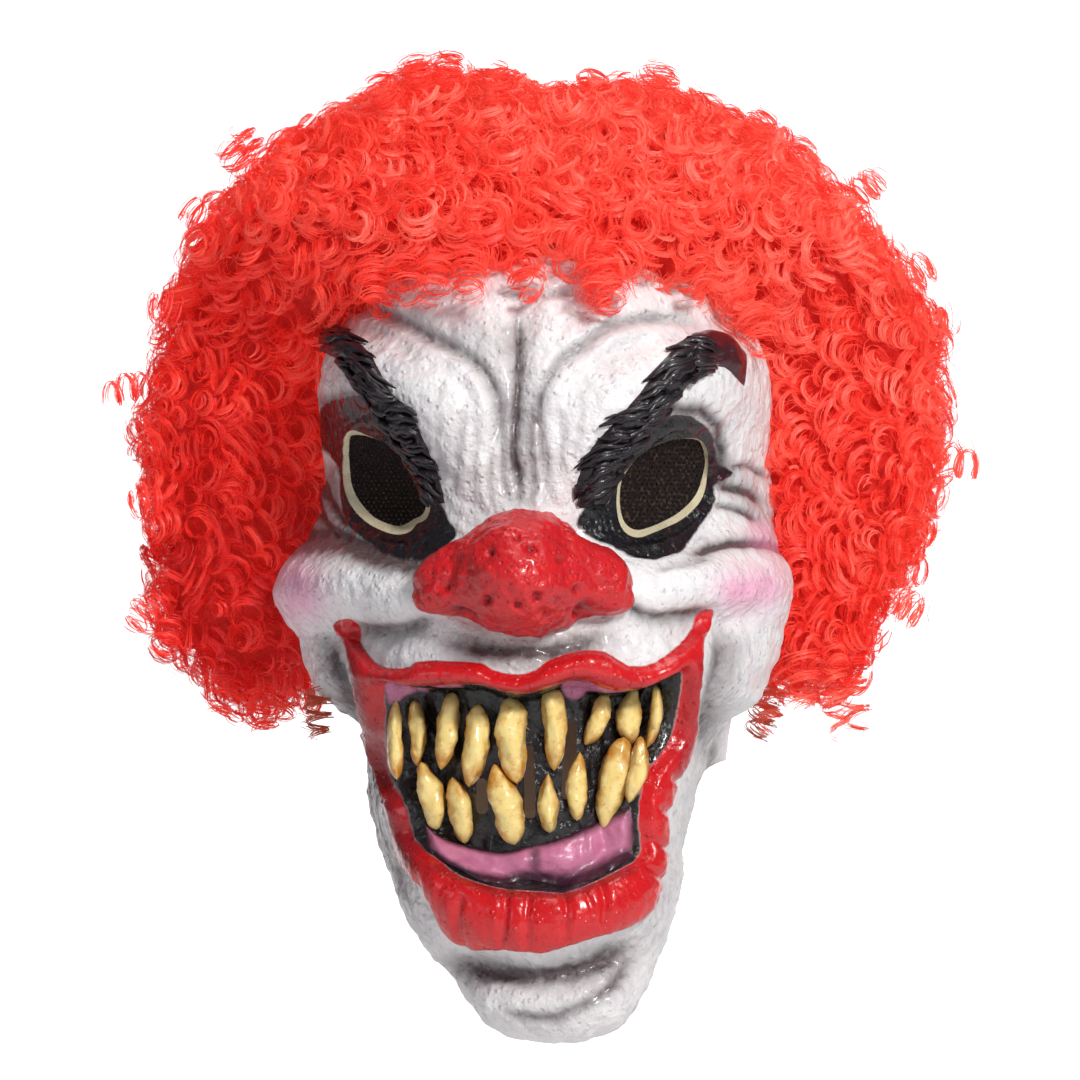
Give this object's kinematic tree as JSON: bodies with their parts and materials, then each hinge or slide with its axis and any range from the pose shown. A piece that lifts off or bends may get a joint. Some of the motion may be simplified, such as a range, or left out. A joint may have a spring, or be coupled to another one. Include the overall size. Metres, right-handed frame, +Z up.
{
  "type": "clown mask with wig",
  "caption": "Full-head latex clown mask with a bulbous nose, wide toothed grin, gauze over the eye holes and a curly wig; pulled on over the head through its open neck.",
  "frame": {"origin": "inside of the crown, where the wearer's head carries the mask", "axes": "+Z up along the face from chin to crown; the face looks along -Y; the viewer who faces it sees +X on the right"},
  "size_m": [0.3024, 0.2988, 0.3504],
  "materials": {
    "white_latex": "painted latex, pearly white with grey in its creases, semi-gloss",
    "red_latex": "painted latex, glossy",
    "black_latex": "painted latex, glossy black with a dark red tinge",
    "pink_gum": "painted latex, glossy",
    "yellow_tooth": "painted latex, glossy, cream running into ochre",
    "black_gauze": "open-mesh fabric",
    "red_hair": "curly synthetic fibre"
  },
  "bodies": {
    "root": {"mask_shell": "white_latex", "nose": "red_latex", "lip_upper": "red_latex", "lip_lower": "red_latex", "brow_left": "black_latex", "brow_right": "black_latex", "gum_lower": "pink_gum", "tooth_upper_1": "yellow_tooth", "tooth_upper_2": "yellow_tooth", "tooth_upper_3": "yellow_tooth", "tooth_upper_4": "yellow_tooth", "tooth_upper_5": "yellow_tooth", "tooth_upper_6": "yellow_tooth", "tooth_upper_7": "yellow_tooth", "tooth_upper_8": "yellow_tooth", "tooth_upper_9": "yellow_tooth", "tooth_lower_1": "yellow_tooth", "tooth_lower_2": "yellow_tooth", "tooth_lower_3": "yellow_tooth", "tooth_lower_4": "yellow_tooth", "tooth_lower_5": "yellow_tooth", "tooth_lower_6": "yellow_tooth", "tooth_lower_7": "yellow_tooth", "eye_gauze_left": "black_gauze", "eye_gauze_right": "black_gauze", "wig": "red_hair"}
  },
  "joints": []
}
